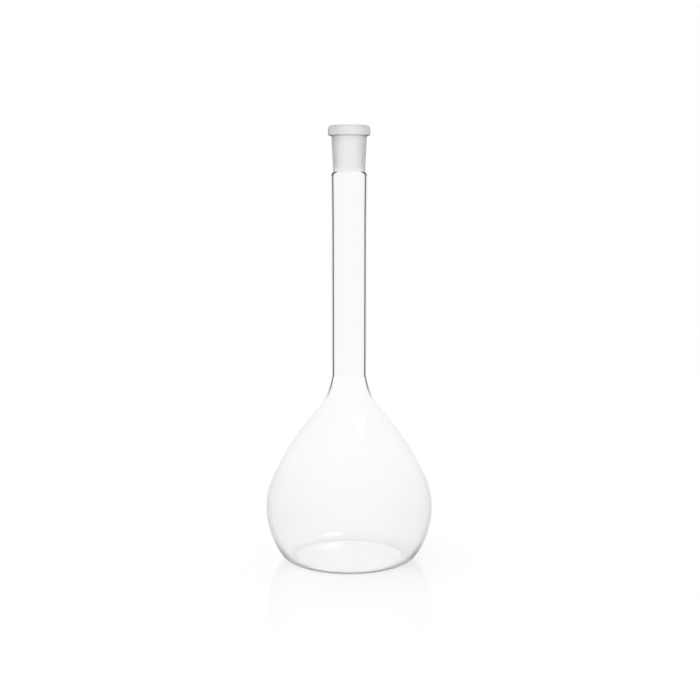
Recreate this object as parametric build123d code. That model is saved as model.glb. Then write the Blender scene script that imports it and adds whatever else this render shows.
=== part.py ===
from build123d import *
import math
import os

# A 500 ml long-necked flask of clear borosilicate glass, made as a glassblower makes it:
# a blown bulb with a flat foot, a drawn neck tube, and a ground taper socket, joined
# face to face at two flame seals. Millimetres, +Z up, with the origin on the table
# under the middle of the foot. Every piece is a turned shape about Z.

# Overall
overall_height = 257.0      # table to the rim
body_diameter = 100.0       # over the girth, which is the bulb's widest ring

# Bulb, along its outer skin from the foot to the neck seal
foot_inset = 16.2           # from the girth in to the outside of the foot's flat land
foot_land = 1.6             # width of the flat ring that the flask stands on
kick_height = 2.0           # rise of the base's middle above the table
heel_radius = 8.7           # turn from the foot into the bowl
girth_height = 31.7         # girth above the table
upper_bowl_radius = 42.0
upper_bowl_turn = 23.7      # degrees of turn above the girth
shoulder_radius = 156.0     # long, nearly straight flank
flare_radius = 40.0         # hollow curve from the flank towards the neck
seal_bend_radius = 12.0     # tighter bend beside the neck seal
seal_bend_turn = 11.7       # degrees
bulb_wall = 1.2

# Neck tube
neck_diameter = 21.2        # outside
neck_wall = 1.5
neck_swell = 0.25           # growth in radius over the last stretch below the pinch
swell_length = 25.0
pinch_length = 3.3          # height over which the neck draws in to the socket
seal_taper_length = 4.0     # inside, from the bulb's wall to the neck's

# Ground taper socket, size 19/26
joint_diameter = 18.8       # bore at the rim
joint_length = 26.0         # ground length
joint_taper = 0.1           # change in diameter for each mm of length
socket_wall = 1.25
seal_band_length = 0.6      # clear glass between the ground bore and the neck
collar_overhang = 1.94      # how far the collar stands out beyond the socket below it
collar_height = 5.8
collar_top_round = 2.2      # upper outer edge of the collar
collar_round = 1.0          # lower outer edge of the collar
lip_round = 0.5             # inner edge of the rim
most_round = 0.9            # share of a wall that its rounded edges may take up

# Worked out from the values above
body_radius = body_diameter / 2
foot_radius = body_radius - foot_inset
neck_radius = neck_diameter / 2
neck_top_radius = neck_radius + neck_swell
joint_small_diameter = joint_diameter - joint_taper * joint_length
ground_end_z = overall_height - joint_length
neck_top_z = ground_end_z - seal_band_length
pinch_start_z = neck_top_z - pinch_length
swell_start_z = pinch_start_z - swell_length


def bulb_stretches():
    """Radius and turn in degrees of each arc of the outer skin, from the base's middle
    to the neck seal. A positive turn bulges outwards, a negative one is hollow, and a
    turn of 0 is a straight run of that length."""
    dome_reach = foot_radius - foot_land
    base_turn = 2 * math.degrees(math.atan(kick_height / dome_reach))
    dome_radius = dome_reach / math.sin(math.radians(base_turn)) - heel_radius

    # The lower bowl is tangent to the heel and upright at the girth.
    rise = girth_height - heel_radius
    lower_bowl_radius = (foot_inset**2 + rise**2 - heel_radius**2) / (
        2 * (foot_inset - heel_radius)
    )
    lower_bowl_turn = math.degrees(math.asin(rise / (lower_bowl_radius - heel_radius)))

    # The flank turns until the flare and the seal bend land on the neck.
    bowl_cos = math.cos(math.radians(upper_bowl_turn))
    bend_cos = math.cos(math.radians(seal_bend_turn))
    flank_top_cos = (
        neck_radius
        - body_radius
        + upper_bowl_radius * (1 - bowl_cos)
        + shoulder_radius * bowl_cos
        + flare_radius * bend_cos
        + seal_bend_radius * (1 - bend_cos)
    ) / (shoulder_radius + flare_radius)
    flank_top_turn = math.degrees(math.acos(flank_top_cos))

    return [
        (dome_radius, -base_turn),
        (heel_radius, base_turn),
        (foot_land, 0),
        (heel_radius, 90 - lower_bowl_turn),
        (lower_bowl_radius, lower_bowl_turn),
        (upper_bowl_radius, upper_bowl_turn),
        (shoulder_radius, flank_top_turn - upper_bowl_turn),
        (flare_radius, seal_bend_turn - flank_top_turn),
        (seal_bend_radius, -seal_bend_turn),
    ]


def bulb_skin(depth):
    """Tangent edges of the skin that lies `depth` inside the outer one."""
    start = Vector(0, kick_height + depth)
    heading = Vector(1, 0)
    edges = []
    for size, turn in bulb_stretches():
        if turn == 0:
            edge = Line(start, start + heading * size)
        else:
            edge = JernArc(start, heading, size - math.copysign(depth, turn), turn)
        edges.append(edge)
        start = edge @ 1
        heading = edge % 1
    return edges


def turned(outline):
    """The solid that a closed outline, drawn as radius and height, makes about Z."""
    return revolve(Plane.XZ * make_face(outline), Axis.Z)


def make_bulb():
    outer = bulb_skin(0)
    inner = bulb_skin(bulb_wall)
    seal_face = Line(outer[-1] @ 1, inner[-1] @ 1)
    axis_edge = Line(inner[0] @ 0, outer[0] @ 0)
    return turned(outer + [seal_face] + inner + [axis_edge])


def make_neck_tube(seal_z):
    neck_bore = neck_radius - neck_wall
    outer_foot = (neck_radius, seal_z)
    inner_foot = (neck_radius - bulb_wall, seal_z)
    outer_top = (joint_small_diameter / 2 + socket_wall, neck_top_z)
    inner_top = (joint_small_diameter / 2, neck_top_z)
    outer_pinch = (neck_top_radius, pinch_start_z)
    inner_pinch = (neck_top_radius - neck_wall, pinch_start_z)

    outer = Polyline(outer_foot, (neck_radius, swell_start_z), outer_pinch)
    outer_shoulder = TangentArc(outer_pinch, outer_top, tangent=(0, 1))
    top_face = Line(outer_top, inner_top)
    inner_shoulder = TangentArc(inner_pinch, inner_top, tangent=(0, 1))
    inner = Polyline(
        inner_pinch,
        (neck_bore, swell_start_z),
        (neck_bore, seal_z + seal_taper_length),
        inner_foot,
    )
    seal_face = Line(inner_foot, outer_foot)
    return turned([outer, outer_shoulder, top_face, inner_shoulder, inner, seal_face])


def make_ground_socket():
    small_bore = joint_small_diameter / 2
    collar_z = overall_height - collar_height
    under_collar = joint_diameter / 2 - joint_taper / 2 * collar_height + socket_wall
    collar_radius = under_collar + collar_overhang
    section = make_face(
        Polyline(
            (joint_diameter / 2, overall_height),
            (collar_radius, overall_height),
            (collar_radius, collar_z),
            (under_collar, collar_z),
            (small_bore + socket_wall, ground_end_z),
            (small_bore + socket_wall, neck_top_z),
            (small_bore, neck_top_z),
            (small_bore, ground_end_z),
            close=True,
        )
    )
    lip_size = min(lip_round, most_round * socket_wall / 2)
    rim_width = collar_radius - joint_diameter / 2 - lip_size
    top_size = min(collar_top_round, most_round * rim_width, most_round * collar_height / 2)
    low_size = min(collar_round, most_round * collar_height / 2, most_round * collar_overhang)
    for corner, size in (
        ((collar_radius, overall_height), top_size),
        ((collar_radius, collar_z), low_size),
        ((joint_diameter / 2, overall_height), lip_size),
    ):
        section = fillet(section.vertices().sort_by_distance(corner)[0], size)
    return revolve(Plane.XZ * section, Axis.Z)


seal_z = (bulb_skin(0)[-1] @ 1).Y

pieces = {
    "bulb": make_bulb(),
    "neck_tube": make_neck_tube(seal_z),
    "ground_socket": make_ground_socket(),
}

os.makedirs("parts", exist_ok=True)
for node, solid in pieces.items():
    export_step(solid, f"parts/{node}.step")
    print(node, round(solid.volume), "mm3")
print("neck seal at", round(seal_z, 2), "mm, neck tube", round(neck_top_z - seal_z, 2), "mm")
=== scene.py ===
import math
import bpy
from mathutils import Matrix, Vector


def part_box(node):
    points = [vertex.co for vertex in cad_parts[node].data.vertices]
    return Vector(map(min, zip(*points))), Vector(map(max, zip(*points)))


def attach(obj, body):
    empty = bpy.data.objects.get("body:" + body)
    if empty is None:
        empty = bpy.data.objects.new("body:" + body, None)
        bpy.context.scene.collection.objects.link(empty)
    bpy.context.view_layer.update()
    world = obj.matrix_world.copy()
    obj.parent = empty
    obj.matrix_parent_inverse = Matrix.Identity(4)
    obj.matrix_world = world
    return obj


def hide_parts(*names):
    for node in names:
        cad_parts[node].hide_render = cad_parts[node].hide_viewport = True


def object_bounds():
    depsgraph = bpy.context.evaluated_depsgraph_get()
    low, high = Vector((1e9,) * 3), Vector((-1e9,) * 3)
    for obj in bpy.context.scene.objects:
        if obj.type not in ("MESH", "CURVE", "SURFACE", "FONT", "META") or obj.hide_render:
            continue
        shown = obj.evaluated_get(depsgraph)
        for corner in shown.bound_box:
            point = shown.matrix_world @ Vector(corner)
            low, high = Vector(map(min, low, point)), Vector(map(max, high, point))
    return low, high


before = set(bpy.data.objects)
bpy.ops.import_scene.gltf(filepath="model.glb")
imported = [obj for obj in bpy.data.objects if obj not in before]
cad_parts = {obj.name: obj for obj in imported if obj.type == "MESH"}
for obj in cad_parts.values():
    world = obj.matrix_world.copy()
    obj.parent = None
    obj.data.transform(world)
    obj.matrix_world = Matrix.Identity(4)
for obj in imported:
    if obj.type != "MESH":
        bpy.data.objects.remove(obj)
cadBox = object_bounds()
mm = 0.001
foot, mouth = cadBox[0][2], cadBox[1][2]          # table and rim heights
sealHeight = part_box("neck_tube")[0][2]            # neck on bulb
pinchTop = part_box("neck_tube")[1][2]              # socket on neck
turnSteps = 256                                   # faces round the axis
seamGap = 0.01 * mm                               # between two pieces of glass at a seal
mergeWithin = 0.002 * mm                          # joins the points where a turned outline closes
smoothUpTo = 40                                   # degrees between faces
levelFace = 0.9                                   # how upright a normal is on a seal face


def clearSelection():
    if bpy.context.mode != "OBJECT":
        bpy.ops.object.mode_set(mode="OBJECT")
    bpy.ops.object.select_all(action="DESELECT")


class Outline:
    # an outline drawn in the XZ plane and then turned about Z
    # its end stays selected, so every extrude or spin goes on from there
    def __init__(self, name, radius, height, heading):
        clearSelection()
        bpy.ops.mesh.primitive_plane_add(size=mm, location=(0, 0, 0))
        self.piece = bpy.context.object
        self.piece.name = name
        self.piece.data.name = name
        bpy.ops.object.mode_set(mode="EDIT")
        bpy.ops.mesh.merge(type="CENTER")
        bpy.ops.transform.translate(value=(radius, 0, height))
        self.end = Vector((radius, 0, height))
        self.heading = Vector((math.cos(heading), 0, math.sin(heading)))

    def lineTo(self, radius, height, cuts=1):
        target = Vector((radius, 0, height))
        step = (target - self.end) / cuts
        for cut in range(cuts):
            bpy.ops.mesh.extrude_region_move(TRANSFORM_OT_translate={"value": step})
        self.heading = step.normalized()
        self.end = target

    def run(self, length, cuts=1):
        target = self.end + self.heading * length
        self.lineTo(target.x, target.z, cuts)

    def arc(self, radius, turn, steps):
        # a positive turn goes to the left of the heading
        side = math.copysign(1, turn)
        left = Vector((-self.heading.z, 0, self.heading.x))
        centre = self.end + left * radius * side
        bpy.ops.mesh.spin(steps=steps, angle=abs(turn), center=centre, axis=(0, side, 0))
        turned = Matrix.Rotation(-turn, 3, "Y")
        self.end = centre + turned @ (self.end - centre)
        self.heading = turned @ self.heading

    def turn(self):
        bpy.ops.mesh.select_all(action="SELECT")
        bpy.ops.mesh.spin(steps=turnSteps, angle=2 * math.pi, center=(0, 0, 0), axis=(0, 0, 1))
        bpy.ops.mesh.select_all(action="SELECT")
        bpy.ops.mesh.remove_doubles(threshold=mergeWithin)
        bpy.ops.mesh.normals_make_consistent(inside=False)
        bpy.ops.object.mode_set(mode="OBJECT")
        bpy.ops.object.shade_smooth_by_angle(angle=math.radians(smoothUpTo))
        return self.piece


def newMaterial(name):
    material = bpy.data.materials.new(name)
    material.use_nodes = True
    nodes, links = material.node_tree.nodes, material.node_tree.links
    nodes.clear()
    output = nodes.new("ShaderNodeOutputMaterial")
    return material, nodes, links, output


def facingOf(nodes):
    # 0 for a ray that meets the surface straight on, 1 for one that skims it
    weight = nodes.new("ShaderNodeLayerWeight")
    weight.inputs["Blend"].default_value = 0.5
    return weight.outputs["Facing"]


def fadeOver(nodes, links, value, low, high):
    # 0 up to low, 1 from high on
    fade = nodes.new("ShaderNodeMapRange")
    fade.inputs["From Min"].default_value = low
    fade.inputs["From Max"].default_value = high
    links.new(value, fade.inputs["Value"])
    return fade


def mixShaders(nodes, links, share, first, second):
    mix = nodes.new("ShaderNodeMixShader")
    links.new(share, mix.inputs["Fac"])
    links.new(first, mix.inputs[1])
    links.new(second, mix.inputs[2])
    return mix.outputs["Shader"]


def bySide(nodes, links, front, back):
    side = nodes.new("ShaderNodeNewGeometry")
    return mixShaders(nodes, links, side.outputs["Backfacing"], front, back)


def combine(nodes, links, operation, first, second):
    both = nodes.new("ShaderNodeMath")
    both.operation = operation
    links.new(first, both.inputs[0])
    links.new(second, both.inputs[1])
    return both.outputs[0]


glassLook = {
    "ior": 1.47,
    "leavingIor": 1.4,               # a little less, so no light is caught in the wall at the edge
    "skimFrom": 0.35,
    "skimTo": 0.6,
    "shadowGrey": 0.86,
    "tint": (0.93, 0.915, 1.0),      # the hue the painted edge shade leans to
}


def paintedEdgeShadeRamp(nodes, stops):
    # painted edge shade: how dark the glass is painted, from looking straight in (0) to looking along
    # it (1); it stands in for dark surroundings seen in and through the glass
    ramp = nodes.new("ShaderNodeValToRGB")
    marks = ramp.color_ramp.elements
    while len(marks) < len(stops):
        marks.new(0.5)
    for mark, (place, grey) in zip(marks, stops):
        mark.position = place
        mark.color = tuple(grey * (1 - (1 - grey) * (1 - part)) for part in glassLook["tint"]) + (1,)
    return ramp


def paintedShadeByHeight(nodes, links, levels):
    # levels: a height in mm and the painted edge shade stops that hold there
    facing = facingOf(nodes)
    place = nodes.new("ShaderNodeTexCoord")
    split = nodes.new("ShaderNodeSeparateXYZ")
    links.new(place.outputs["Object"], split.inputs[0])
    colour = None
    for height, stops in levels:
        ramp = paintedEdgeShadeRamp(nodes, stops)
        links.new(facing, ramp.inputs["Fac"])
        if colour is None:
            colour, lastHeight = ramp.outputs["Color"], height
            continue
        fade = fadeOver(nodes, links, split.outputs["Z"], lastHeight * mm, height * mm)
        blend = nodes.new("ShaderNodeMix")
        blend.data_type = "RGBA"
        links.new(fade.outputs["Result"], blend.inputs["Factor"])
        links.new(colour, blend.inputs[6])        # the two colours of a colour mix
        links.new(ramp.outputs["Color"], blend.inputs[7])
        colour, lastHeight = blend.outputs[2], height
    return colour


def refraction(nodes, links, colour, ior, roughness=0.0):
    bend = nodes.new("ShaderNodeBsdfRefraction")
    bend.inputs["Roughness"].default_value = roughness
    bend.inputs["IOR"].default_value = ior
    links.new(colour, bend.inputs["Color"])
    return bend.outputs["BSDF"]


def makeGlass(name, levels, roughness=0.0, grain=None, leaving=None, inner=False,
              shadowGrey=glassLook["shadowGrey"]):
    # levels: the painted edge shade by height; no levels: clear all over. leaving: the painted edge
    # shade levels for light on its way out through an outer skin
    material, nodes, links, output = newMaterial(name)
    glass = nodes.new("ShaderNodeBsdfGlass")
    glass.inputs["Color"].default_value = (1, 1, 1, 1)
    glass.inputs["Roughness"].default_value = roughness
    glass.inputs["IOR"].default_value = glassLook["ior"]
    if levels:
        colour = paintedShadeByHeight(nodes, links, levels)
        links.new(colour, glass.inputs["Color"])
    if grain:
        addGrain(nodes, links, glass, grain)
    bent = glass.outputs["BSDF"]
    if inner:
        # light that skims the bore from inside goes in, and doesn't run on round the wall
        skim = refraction(nodes, links, colour, glassLook["ior"])
        low = fadeOver(nodes, links, facingOf(nodes), glassLook["skimFrom"], glassLook["skimTo"])
        front = mixShaders(nodes, links, low.outputs["Result"], bent, skim)
        bent = bySide(nodes, links, front, bent)
    if leaving:
        # it goes straight out, with no echo in the wall
        outColour = paintedShadeByHeight(nodes, links, leaving)
        out = refraction(nodes, links, outColour, glassLook["leavingIor"], roughness)
        bent = bySide(nodes, links, bent, out)
    shadow = nodes.new("ShaderNodeBsdfTransparent")
    shadow.inputs["Color"].default_value = (shadowGrey,) * 3 + (1,)
    rays = nodes.new("ShaderNodeLightPath")
    whole = mixShaders(nodes, links, rays.outputs["Is Shadow Ray"], bent, shadow.outputs["BSDF"])
    links.new(whole, output.inputs["Surface"])
    return material


def addGrain(nodes, links, glass, grain):
    # the matt bite of ground glass, with the faint rings that the grinding leaves
    place = nodes.new("ShaderNodeTexCoord")
    speck = nodes.new("ShaderNodeTexNoise")
    speck.inputs["Scale"].default_value = 1 / (grain["speck"] * mm)
    speck.inputs["Detail"].default_value = grain["speckDetail"]
    rings = nodes.new("ShaderNodeTexWave")
    rings.bands_direction = "Z"
    rings.inputs["Scale"].default_value = grain["ringScale"] / (grain["ring"] * mm)
    rings.inputs["Distortion"].default_value = grain["ringWander"]
    rings.inputs["Detail"].default_value = grain["ringDetail"]
    cloud = nodes.new("ShaderNodeTexNoise")
    cloud.inputs["Scale"].default_value = 1 / (grain["cloud"] * mm)
    rough = fadeOver(nodes, links, cloud.outputs["Fac"], grain["cloudFrom"], grain["cloudTo"])
    rough.inputs["To Min"].default_value = grain["smoother"]
    rough.inputs["To Max"].default_value = grain["rougher"]
    both = nodes.new("ShaderNodeMath")
    both.operation = "MULTIPLY_ADD"
    both.inputs[1].default_value = grain["ringShare"]
    bump = nodes.new("ShaderNodeBump")
    bump.inputs["Strength"].default_value = grain["bump"]
    bump.inputs["Distance"].default_value = grain["depth"] * mm
    for texture in (speck, rings, cloud):
        links.new(place.outputs["Object"], texture.inputs["Vector"])
    links.new(rough.outputs["Result"], glass.inputs["Roughness"])
    links.new(rings.outputs["Fac"], both.inputs[0])
    links.new(speck.outputs["Fac"], both.inputs[2])
    links.new(both.outputs[0], bump.inputs["Height"])
    links.new(bump.outputs["Normal"], glass.inputs["Normal"])


def makeSealFace():
    # the flame has run both pieces together here, so light goes straight across
    material, nodes, links, output = newMaterial("sealFace")
    clear = nodes.new("ShaderNodeBsdfTransparent")
    links.new(clear.outputs["BSDF"], output.inputs["Surface"])
    return material


def paint(piece, material, belongs):
    piece.data.materials.append(material)
    slot = len(piece.data.materials) - 1
    for face in piece.data.polygons:
        if belongs(face):
            face.material_index = slot


def isSealFace(face):
    atBulb = abs(face.center.z - sealHeight) < 2 * seamGap
    atSocket = abs(face.center.z - pinchTop) < 2 * seamGap
    return (atBulb or atSocket) and abs(face.normal.z) > levelFace


def facesAxis(face):
    return face.normal.x * face.center.x + face.normal.y * face.center.y < 0


bulbSizes = {
    "footInset": 16.2, "footLand": 1.6, "kick": 2.0, "heel": 8.7, "girth": 31.7,
    "upperBowl": 42.0, "upperTurn": 23.7, "shoulder": 156.0, "flare": 40.0,
    "bend": 12.0, "bendTurn": 11.7, "wall": 1.2, "neckRadius": 10.6,
}
# painted edge shade for the bulb, zone by zone: the grey from looking straight in to looking along the
# glass; the dark bands at the foot, heel and flare are painted dark edge lines, and the lower zones are
# painted darker
bulbLook = {
    "foot": [
        (0, 0.97), (0.44, 0.94), (0.51, 0.84), (0.57, 0.48), (0.67, 0.36), (0.75, 0.66), (0.84, 0.66),
        (0.91, 0.4), (0.97, 0.7), (1, 0.9),
    ],
    "heel": [
        (0, 0.97), (0.5, 0.95), (0.6, 0.9), (0.68, 0.7), (0.78, 0.42), (0.9, 0.42), (0.97, 0.7),
        (1, 0.9),
    ],
    "wayOut": [(0, 0.98), (0.5, 0.985), (1, 0.985)],
    "lowBowl": [
        (0, 0.96), (0.2, 0.95), (0.46, 0.932), (0.6, 0.895), (0.7, 0.79), (0.79, 0.69), (0.86, 0.8),
        (0.93, 0.95), (1, 1),
    ],
    "girth": [
        (0, 0.972), (0.2, 0.95), (0.46, 0.928), (0.63, 0.89), (0.74, 0.8), (0.79, 0.76), (0.86, 0.85),
        (0.93, 0.97), (1, 1),
    ],
    "upperBowl": [
        (0, 0.99), (0.4, 0.975), (0.62, 0.95), (0.74, 0.895), (0.8, 0.88), (0.87, 0.94), (1, 1),
    ],
    "shoulder": [(0, 0.995), (0.4, 0.985), (0.6, 0.967), (0.72, 0.93), (0.84, 0.955), (1, 1)],
    "flare": [
        (0, 0.995), (0.42, 0.985), (0.52, 0.95), (0.55, 0.22), (0.66, 0.18), (0.72, 0.85), (0.85, 0.95),
        (1, 1),
    ],
    "inside": [(0, 0.999), (0.8, 0.99), (1, 0.97)],
    "baseShadow": 0.99,
}
# heights in mm where each zone of painted edge shade holds
bulbHeights = {
    "foot": 2.2, "heel": 6, "wayOut": 8, "lowBowl": 16, "girth": 34, "upperBowl": 60,
    "shoulder": 97, "flare": 105,
}
bulbZones = {"floorTop": 20, "floorRadius": 46, "baseTop": 6, "baseRadius": 31.5}


def bulbStretches(b, bodyRadius):
    footRadius = bodyRadius - b["footInset"]
    reach = footRadius - b["footLand"]
    baseTurn = 2 * math.atan(b["kick"] / reach)
    dome = reach / math.sin(baseTurn) - b["heel"]
    rise = b["girth"] - b["heel"]
    lower = (b["footInset"] ** 2 + rise ** 2 - b["heel"] ** 2) / (2 * (b["footInset"] - b["heel"]))
    lowerTurn = math.asin(rise / (lower - b["heel"]))
    upperTurn, bendTurn = math.radians(b["upperTurn"]), math.radians(b["bendTurn"])
    bowlCos, bendCos = math.cos(upperTurn), math.cos(bendTurn)
    topCos = (
        b["neckRadius"] - bodyRadius + b["upperBowl"] * (1 - bowlCos) + b["shoulder"] * bowlCos
        + b["flare"] * bendCos + b["bend"] * (1 - bendCos)
    ) / (b["shoulder"] + b["flare"])
    topTurn = math.acos(topCos)
    return [
        (dome, -baseTurn, 14), (b["heel"], baseTurn, 4), (b["footLand"], 0, 1),
        (b["heel"], math.pi / 2 - lowerTurn, 30), (lower, lowerTurn, 36),
        (b["upperBowl"], upperTurn, 18), (b["shoulder"], topTurn - upperTurn, 24),
        (b["flare"], bendTurn - topTurn, 24), (b["bend"], -bendTurn, 8),
    ]


def makeBulb():
    b = bulbSizes
    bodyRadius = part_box("bulb")[1][0] / mm
    stretches = bulbStretches(b, bodyRadius)
    outline = Outline("flask_bulb", 0, b["kick"] * mm, 0)
    for size, turn, steps in stretches:
        if turn == 0:
            outline.run(size * mm)
        else:
            outline.arc(size * mm, turn, steps)
    # across the seal's face, then back down the inside
    outline.lineTo(outline.end.x - b["wall"] * mm, outline.end.z)
    outline.heading = Vector((0, 0, -1))
    for size, turn, steps in reversed(stretches):
        if turn == 0:
            outline.run(size * mm)
        else:
            outline.arc((size - math.copysign(b["wall"], turn)) * mm, -turn, steps)
    return outline.turn()


def isBulbInside(face):
    # on the floor inside, a normal says more than the side of the axis does
    low = face.center.z < bulbZones["floorTop"] * mm
    if low and face.center.xy.length < bulbZones["floorRadius"] * mm:
        return face.normal.z > 0
    return facesAxis(face)


def isBase(face):
    low = face.center.z < bulbZones["baseTop"] * mm
    return low and face.center.xy.length < bulbZones["baseRadius"] * mm


def bulbLevels(*names):
    return [(bulbHeights[name], bulbLook[name]) for name in names]


bulb = makeBulb()
upperLevels = bulbLevels("lowBowl", "girth", "upperBowl", "shoulder", "flare")
# the outside and inside skins carry the painted edge shade; the base is clear
bulb.data.materials.append(makeGlass(
    "bulbOutside", bulbLevels("foot", "heel") + upperLevels,
    leaving=bulbLevels("wayOut") + upperLevels,
))
paint(bulb, makeGlass("bulbInside", [(0, bulbLook["inside"])], inner=True), isBulbInside)
paint(bulb, makeGlass("bulbBase", None, shadowGrey=bulbLook["baseShadow"]), isBase)
sealFace = makeSealFace()
paint(bulb, sealFace, isSealFace)
print("bulb", len(bulb.data.polygons))

neckSizes = {
    "radius": 10.6, "wall": 1.5, "swell": 0.25, "swellLength": 25.0, "pinch": 3.3,
    "sealTaper": 4.0, "jointSmall": 8.1, "socketWall": 1.25,
}
# painted edge shade for the neck: the dark bands are painted dark edge lines, darkest at the pinch
# under the socket
neckLook = {
    "outside": [
        (0, 0.985), (0.3, 0.975), (0.41, 0.96), (0.45, 0.92), (0.472, 0.2), (0.57, 0.14), (0.62, 0.8),
        (0.8, 0.96), (1, 1),
    ],
    "pinch": [(0, 0.985), (0.4, 0.96), (0.5, 0.92), (0.56, 0.14), (0.79, 0.08), (0.87, 0.8), (1, 1)],
    "inside": [(0, 0.998), (0.5, 0.99), (1, 0.95)],
    "outsideBelow": 2.8, "pinchBelow": 1.6,       # mm under the socket, where these painted dark edge lines start
}


def makeNeck():
    n = neckSizes
    low = sealHeight + seamGap
    top = pinchTop - seamGap
    outline = Outline("flask_neck", n["radius"] * mm, low, math.pi / 2)
    pinchStart = pinchTop - n["pinch"] * mm
    swellStart = pinchStart - n["swellLength"] * mm
    outline.lineTo(n["radius"] * mm, swellStart, 40)
    outline.lineTo((n["radius"] + n["swell"]) * mm, pinchStart, 12)
    outline.heading = Vector((0, 0, 1))
    across = n["radius"] + n["swell"] - n["jointSmall"] - n["socketWall"]
    turn = 2 * math.atan2(across, n["pinch"])
    outline.arc(n["pinch"] * mm / math.sin(turn), turn, 16)
    outline.lineTo(n["jointSmall"] * mm, top)
    # inside, from the top down
    innerTop = n["radius"] + n["swell"] - n["wall"]
    across = innerTop - n["jointSmall"]
    turn = 2 * math.atan2(across, n["pinch"])
    outline.heading = Vector((math.sin(turn), 0, -math.cos(turn)))
    outline.arc(n["pinch"] * mm / math.sin(turn), -turn, 16)
    outline.lineTo((n["radius"] - n["wall"]) * mm, swellStart, 12)
    outline.lineTo((n["radius"] - n["wall"]) * mm, sealHeight + n["sealTaper"] * mm, 36)
    outline.lineTo((n["radius"] - bulbSizes["wall"]) * mm, low, 4)
    outline.lineTo(n["radius"] * mm, low)
    return outline.turn()


neck = makeNeck()
# painted edge shade on the neck, with the painted dark pinch just under the socket
neckLevels = [
    (pinchTop / mm - neckLook["outsideBelow"], neckLook["outside"]),
    (pinchTop / mm - neckLook["pinchBelow"], neckLook["pinch"]),
]
neck.data.materials.append(makeGlass("neckOutside", neckLevels, leaving=neckLevels))
paint(neck, makeGlass("neckInside", [(0, neckLook["inside"])], inner=True), facesAxis)
paint(neck, sealFace, isSealFace)
print("neck", len(neck.data.polygons))

socketSizes = {
    "mouth": 9.4, "small": 8.1, "length": 26.0, "groundLength": 24.3, "wall": 1.25, "collarHeight": 5.8,
    "collarOut": 1.94, "collarTopRound": 2.2, "collarRound": 1.0, "lipRound": 0.5,
}
# painted shade for the socket: darker edges all over, a painted shade band just under the collar, a
# painted dark line at the rim and painted shade on the collar's underside
socketLook = {
    "outside": [(0, 0.972), (0.25, 0.95), (0.5, 0.91), (0.7, 0.94), (0.88, 0.96), (1, 0.97)],
    "shade": [(0, 0.74), (0.5, 0.58), (0.88, 0.46), (1, 0.55)],
    "ground": [(0, 0.985), (0.5, 0.98), (1, 0.965)],
    "rim": [(0, 0.96), (0.6, 0.93), (0.82, 0.78), (1, 0.7)],
    # painted shade on the collar's underside
    "underCollar": [(0, 0.6), (1, 0.5)],
    "roughness": 0.4,
    "shadeFrom": 1.0, "shadeTo": 0.4, "shadeAbove": 0.1,      # mm from the collar's foot, for the painted shade band
    "rimFrom": 0.6, "rimTo": 0.3,                             # mm below the mouth, for the painted dark rim line
    "undersideTilt": 0.7, "undersideAbove": 10,
}
groundGrain = {
    "speck": 0.22, "speckDetail": 3.0, "ring": 0.6, "ringScale": 0.31, "ringWander": 2.5,
    "ringDetail": 2.0, "ringShare": 0.35, "cloud": 4.0, "cloudFrom": 0.3, "cloudTo": 0.7,
    "smoother": 0.42, "rougher": 0.56, "bump": 0.35, "depth": 0.03,
}


def makeSocket():
    s = socketSizes
    groundEnd = mouth - s["length"] * mm
    slope = (s["mouth"] - s["small"]) / s["length"]
    underCollar = s["mouth"] - slope * s["collarHeight"] + s["wall"]
    collar = underCollar + s["collarOut"]
    collarFoot = mouth - s["collarHeight"] * mm
    low = pinchTop + seamGap
    outline = Outline("flask_socket", s["small"] * mm, low, 0)
    outline.lineTo((s["small"] + s["wall"]) * mm, low)
    outline.lineTo((s["small"] + s["wall"]) * mm, groundEnd, 2)
    outline.lineTo(underCollar * mm, collarFoot, 24)
    outline.lineTo((collar - s["collarRound"]) * mm, collarFoot, 3)
    outline.arc(s["collarRound"] * mm, math.pi / 2, 10)
    outline.lineTo(collar * mm, mouth - s["collarTopRound"] * mm, 5)
    outline.arc(s["collarTopRound"] * mm, math.pi / 2, 14)
    outline.lineTo((s["mouth"] + s["lipRound"]) * mm, mouth, 1)
    outline.arc(s["lipRound"] * mm, math.pi / 2, 6)
    ground = s["groundLength"]                    # the taper is ground this far down
    outline.lineTo((s["mouth"] - slope * ground) * mm, mouth - ground * mm, 26)
    outline.lineTo(s["small"] * mm, groundEnd, 2)
    outline.lineTo(s["small"] * mm, low, 2)
    return outline.turn()


def isGround(face):
    return facesAxis(face) and face.center.z > mouth - socketSizes["groundLength"] * mm


def isClearBore(face):
    return facesAxis(face) and face.center.z < mouth - socketSizes["groundLength"] * mm


# the faces under the collar, which are painted in shade
def isPaintedShadeUnderCollar(face):
    looksDown = face.normal.z < -socketLook["undersideTilt"]
    return looksDown and face.center.z > pinchTop + socketLook["undersideAbove"] * mm


socket = makeSocket()
collarFoot = mouth / mm - socketSizes["collarHeight"]
# painted edge shade by height, with a painted shade band under the collar's foot and a painted dark
# line at the rim
socketLevels = [
    (collarFoot - socketLook["shadeFrom"], socketLook["outside"]),
    (collarFoot - socketLook["shadeTo"], socketLook["shade"]),
    (collarFoot, socketLook["shade"]),
    (collarFoot + socketLook["shadeAbove"], socketLook["outside"]),
    (mouth / mm - socketLook["rimFrom"], socketLook["outside"]),
    (mouth / mm - socketLook["rimTo"], socketLook["rim"]),
]
matt = socketLook["roughness"]
socket.data.materials.append(
    makeGlass("socketOutside", socketLevels, roughness=matt, leaving=socketLevels)
)
paint(socket, makeGlass("groundGlass", [(0, socketLook["ground"])], grain=groundGrain), isGround)
paint(socket, makeGlass("clearBore", [(0, neckLook["inside"])]), isClearBore)
# the underside of the collar is painted dark grey as shade
paint(socket, makeGlass("underCollar", [(0, socketLook["underCollar"])], roughness=matt), isPaintedShadeUnderCollar)
paint(socket, sealFace, isSealFace)
print("socket", len(socket.data.polygons))

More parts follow.
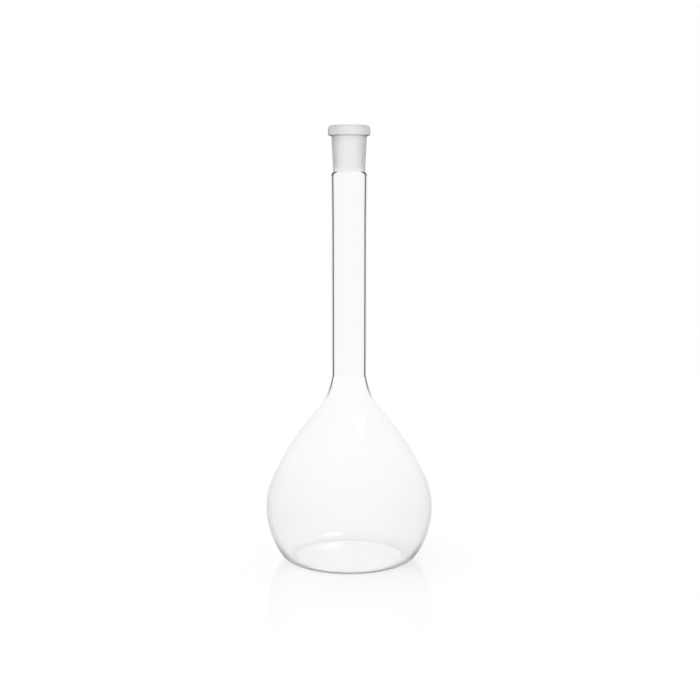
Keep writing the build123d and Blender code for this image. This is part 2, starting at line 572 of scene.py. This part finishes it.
for piece, node in ((bulb, "bulb"), (neck, "neck_tube"), (socket, "ground_socket")):
    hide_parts(node)
    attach(piece, "root")

studio = {
    "floorSize": 60.0, "floorGap": 0.1, "floorGrey": 0.95, "floorRoughness": 0.1, "floorIor": 1.3,
    "glow": 0.55, "glowStrength": 1.235, "fadeFrom": 0.5, "fadeTo": 1.6, "roomLight": 0.8,
    "lampAim": 0.05,
}


def whereSeen(nodes, links):
    # 1 for a ray that shows the backdrop, directly, in a reflection or through glass
    rays = nodes.new("ShaderNodeLightPath")
    result = rays.outputs["Is Camera Ray"]
    for kind in ("Is Glossy Ray", "Is Transmission Ray"):
        result = combine(nodes, links, "MAXIMUM", result, rays.outputs[kind])
    return result


def makeTable():
    clearSelection()
    bpy.ops.mesh.primitive_plane_add(
        size=studio["floorSize"], location=(0, 0, foot - studio["floorGap"] * mm)
    )
    table = bpy.context.object
    table.name = "table"
    material, nodes, links, output = newMaterial("table")
    paper = nodes.new("ShaderNodeBsdfDiffuse")
    paper.inputs["Color"].default_value = (studio["floorGrey"],) * 3 + (1,)
    sheen = nodes.new("ShaderNodeBsdfGlossy")
    sheen.inputs["Roughness"].default_value = studio["floorRoughness"]
    sheen.inputs["Color"].default_value = (1, 1, 1, 1)
    fresnel = nodes.new("ShaderNodeFresnel")
    fresnel.inputs["IOR"].default_value = studio["floorIor"]
    glow = nodes.new("ShaderNodeEmission")
    glow.inputs["Strength"].default_value = studio["glowStrength"]
    plain = nodes.new("ShaderNodeEmission")
    seen = whereSeen(nodes, links)
    place = nodes.new("ShaderNodeTexCoord")
    distance = nodes.new("ShaderNodeVectorMath")
    distance.operation = "LENGTH"
    links.new(place.outputs["Object"], distance.inputs[0])
    # plain white far from the flask
    fade = fadeOver(nodes, links, distance.outputs["Value"], studio["fadeFrom"], studio["fadeTo"])
    fade.interpolation_type = "SMOOTHSTEP"
    share = nodes.new("ShaderNodeMath")
    share.operation = "MULTIPLY"
    share.inputs[1].default_value = studio["glow"]
    links.new(seen, share.inputs[0])
    near = mixShaders(nodes, links, share.outputs[0], paper.outputs[0], glow.outputs[0])
    sheened = mixShaders(nodes, links, fresnel.outputs[0], near, sheen.outputs[0])
    farShare = combine(nodes, links, "MULTIPLY", fade.outputs["Result"], seen)
    whole = mixShaders(nodes, links, farShare, sheened, plain.outputs[0])
    links.new(whole, output.inputs["Surface"])
    table.data.materials.append(material)


def makeRoom():
    world = bpy.data.worlds.new("studio")
    bpy.context.scene.world = world
    world.use_nodes = True
    nodes, links = world.node_tree.nodes, world.node_tree.links
    nodes.clear()
    output = nodes.new("ShaderNodeOutputWorld")
    background = nodes.new("ShaderNodeBackground")
    background.inputs["Color"].default_value = (1, 1, 1, 1)
    seen = whereSeen(nodes, links)
    strength = nodes.new("ShaderNodeMapRange")
    strength.inputs["To Min"].default_value = studio["roomLight"]
    links.new(seen, strength.inputs["Value"])
    links.new(strength.outputs["Result"], background.inputs["Strength"])
    links.new(background.outputs[0], output.inputs["Surface"])


lampSetup = {
    "softBox": {"place": (0.35, 0.06, 1.12), "size": (0.5, 0.4), "power": 2.0},
    "window": {"place": (0.36, -0.24, 1.07), "size": (0.34, 0.3), "power": 1.0},
}


def makeLamp(name, setup):
    data = bpy.data.lights.new(name, "AREA")
    data.shape = "RECTANGLE"
    data.size, data.size_y = setup["size"]
    data.energy = setup["power"]
    lamp = bpy.data.objects.new(name, data)
    bpy.context.scene.collection.objects.link(lamp)
    lamp.location = setup["place"]
    lamp.visible_diffuse = False                  # it gives the glints, and the room lights the table
    aim = Vector((0, 0, studio["lampAim"])) - lamp.location
    lamp.rotation_euler = aim.to_track_quat("-Z", "Y").to_euler()


makeTable()
makeRoom()
for name, setup in lampSetup.items():
    makeLamp(name, setup)
print("studio")

cameraSetup = {
    "place": (0.52, -699.4, 210.3), "pitch": 6.876, "lens": 61.1, "sensor": 36.0, "clipStart": 0.01,
}
data = bpy.data.cameras.new("camera")
camera = bpy.data.objects.new("camera", data)
bpy.context.scene.collection.objects.link(camera)
camera.location = Vector(cameraSetup["place"]) * mm
camera.rotation_euler = (math.radians(90 - cameraSetup["pitch"]), 0, 0)
data.lens = cameraSetup["lens"]
data.sensor_width = cameraSetup["sensor"]
data.clip_start = cameraSetup["clipStart"]
bpy.context.scene.camera = camera
bpy.context.scene.view_settings.view_transform = "Standard"
